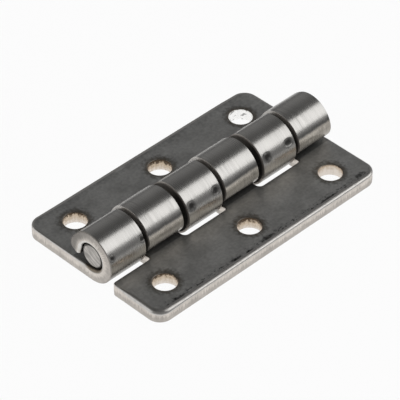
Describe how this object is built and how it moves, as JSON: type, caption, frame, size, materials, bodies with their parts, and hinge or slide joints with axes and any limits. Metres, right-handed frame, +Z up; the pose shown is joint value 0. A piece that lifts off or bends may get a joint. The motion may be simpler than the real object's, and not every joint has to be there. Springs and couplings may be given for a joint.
{
  "type": "butt hinge",
  "caption": "Flat butt hinge of raw steel: two punched and rolled sheet leaves with screw holes, interleaved round knuckles and one fixed pin.",
  "frame": {"origin": "on the plane of the leaves' backs, under the middle of the pin", "axes": "+Z up from the leaves' backs to the barrel, Y along the pin, +X towards the swing leaf"},
  "size_m": [0.0402, 0.065, 0.0122],
  "materials": {
    "leaf_steel": "raw rolled stainless sheet, satin",
    "pin_steel": "drawn bar with sheared ends"
  },
  "bodies": {
    "fixed_side": {"fixed_leaf": "leaf_steel", "hinge_pin": "pin_steel"},
    "swing_side": {"swing_leaf": "leaf_steel"}
  },
  "joints": [
    {"name": "leaf_swing", "type": "hinge", "parent": "fixed_side", "child": "swing_side", "pos_m": [0, 0, 0.0061], "axis": [0, -1, 0], "range_deg": [-90, 180]}
  ]
}
